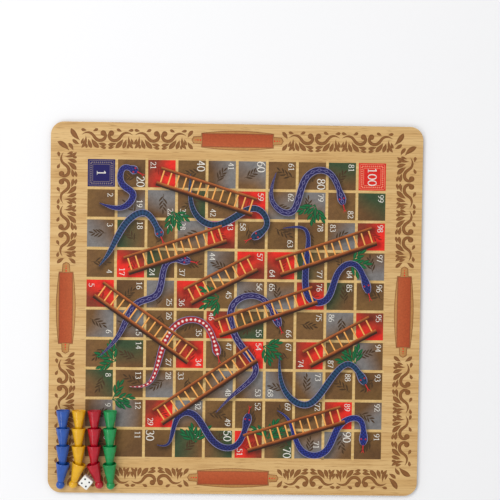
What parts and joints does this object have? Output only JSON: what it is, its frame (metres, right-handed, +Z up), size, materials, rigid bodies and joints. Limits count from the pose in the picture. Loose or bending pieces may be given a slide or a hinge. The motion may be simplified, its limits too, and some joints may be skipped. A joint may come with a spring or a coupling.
{
  "type": "snakes and ladders board",
  "caption": "Square printed wooden board for a snakes and ladders race game, with nested hollow pawns in stacks and a die lying on one corner.",
  "frame": {"origin": "middle of the underside of the board", "axes": "+X to the right and +Y away from the player as the picture shows the board, +Z up out of the printed playing face"},
  "size_m": [0.34, 0.34, 0.0162],
  "materials": {
    "fibre_board": "raw cut edge",
    "front_film": "satin printed film with a pale wood grain",
    "back_film": "satin printed film with a pale wood grain",
    "brown_ink": "satin print",
    "grey_ink": "satin print",
    "green_ink": "satin print",
    "red_ink": "satin print",
    "navy_ink": "satin print",
    "ladder_ink": "satin print",
    "blue_ink": "satin print",
    "crimson_ink": "satin print",
    "scroll_ink": "satin print",
    "panel_ink": "satin print",
    "blue_plastic": "moulded, slightly glossy",
    "yellow_plastic": "moulded, slightly glossy",
    "red_plastic": "moulded, slightly glossy",
    "green_plastic": "moulded, slightly glossy",
    "white_plastic": "moulded, polished",
    "black_paint": "matt paint"
  },
  "bodies": {
    "board": {"board_core": "fibre_board", "front_film": "front_film", "back_film": "back_film", "brown_squares": "brown_ink", "grey_squares": "grey_ink", "green_squares": "green_ink", "red_squares": "red_ink", "end_squares": "navy_ink", "ladders": "ladder_ink", "blue_snakes": "blue_ink", "red_snake": "crimson_ink", "border_scrolls": "scroll_ink", "side_panels": "panel_ink"},
    "pawn_blue_4": {"pawn_blue_4": "blue_plastic"},
    "pawn_blue_3": {"pawn_blue_3": "blue_plastic"},
    "pawn_blue_2": {"pawn_blue_2": "blue_plastic"},
    "pawn_blue_1": {"pawn_blue_1": "blue_plastic"},
    "pawn_yellow_4": {"pawn_yellow_4": "yellow_plastic"},
    "pawn_yellow_3": {"pawn_yellow_3": "yellow_plastic"},
    "pawn_yellow_2": {"pawn_yellow_2": "yellow_plastic"},
    "pawn_yellow_1": {"pawn_yellow_1": "yellow_plastic"},
    "pawn_red_4": {"pawn_red_4": "red_plastic"},
    "pawn_red_3": {"pawn_red_3": "red_plastic"},
    "pawn_red_2": {"pawn_red_2": "red_plastic"},
    "pawn_red_1": {"pawn_red_1": "red_plastic"},
    "pawn_green_4": {"pawn_green_4": "green_plastic"},
    "pawn_green_3": {"pawn_green_3": "green_plastic"},
    "pawn_green_2": {"pawn_green_2": "green_plastic"},
    "pawn_green_1": {"pawn_green_1": "green_plastic"},
    "die": {"die": "white_plastic", "die_pips": "black_paint"}
  },
  "joints": [
    {"name": "blue_stack_lift", "type": "slide", "parent": "board", "child": "pawn_blue_4", "axis": [0, 0, 1], "range_m": [0, 0.04]},
    {"name": "blue_pawn_3_pull", "type": "slide", "parent": "pawn_blue_4", "child": "pawn_blue_3", "axis": [0, 0.9997, 0.0234], "range_m": [0, 0.012]},
    {"name": "blue_pawn_2_pull", "type": "slide", "parent": "pawn_blue_3", "child": "pawn_blue_2", "axis": [0, 1, 0.0042], "range_m": [0, 0.012]},
    {"name": "blue_pawn_1_pull", "type": "slide", "parent": "pawn_blue_2", "child": "pawn_blue_1", "axis": [0, 1, 0.0007], "range_m": [0, 0.012]},
    {"name": "yellow_stack_lift", "type": "slide", "parent": "board", "child": "pawn_yellow_4", "axis": [0, 0, 1], "range_m": [0, 0.04]},
    {"name": "yellow_pawn_3_pull", "type": "slide", "parent": "pawn_yellow_4", "child": "pawn_yellow_3", "axis": [0, 0.9997, 0.0234], "range_m": [0, 0.012]},
    {"name": "yellow_pawn_2_pull", "type": "slide", "parent": "pawn_yellow_3", "child": "pawn_yellow_2", "axis": [0, 1, 0.0042], "range_m": [0, 0.012]},
    {"name": "yellow_pawn_1_pull", "type": "slide", "parent": "pawn_yellow_2", "child": "pawn_yellow_1", "axis": [0, 1, 0.0007], "range_m": [0, 0.012]},
    {"name": "red_stack_lift", "type": "slide", "parent": "board", "child": "pawn_red_4", "axis": [0, 0, 1], "range_m": [0, 0.04]},
    {"name": "red_pawn_3_pull", "type": "slide", "parent": "pawn_red_4", "child": "pawn_red_3", "axis": [0, 0.9997, 0.0234], "range_m": [0, 0.012]},
    {"name": "red_pawn_2_pull", "type": "slide", "parent": "pawn_red_3", "child": "pawn_red_2", "axis": [0, 1, 0.0042], "range_m": [0, 0.012]},
    {"name": "red_pawn_1_pull", "type": "slide", "parent": "pawn_red_2", "child": "pawn_red_1", "axis": [0, 1, 0.0007], "range_m": [0, 0.012]},
    {"name": "green_stack_lift", "type": "slide", "parent": "board", "child": "pawn_green_4", "axis": [0, 0, 1], "range_m": [0, 0.04]},
    {"name": "green_pawn_3_pull", "type": "slide", "parent": "pawn_green_4", "child": "pawn_green_3", "axis": [0, 0.9997, 0.0234], "range_m": [0, 0.012]},
    {"name": "green_pawn_2_pull", "type": "slide", "parent": "pawn_green_3", "child": "pawn_green_2", "axis": [0, 1, 0.0042], "range_m": [0, 0.012]},
    {"name": "green_pawn_1_pull", "type": "slide", "parent": "pawn_green_2", "child": "pawn_green_1", "axis": [0, 1, 0.0007], "range_m": [0, 0.012]},
    {"name": "die_lift", "type": "slide", "parent": "board", "child": "die", "axis": [0, 0, 1], "range_m": [0, 0.04]}
  ]
}
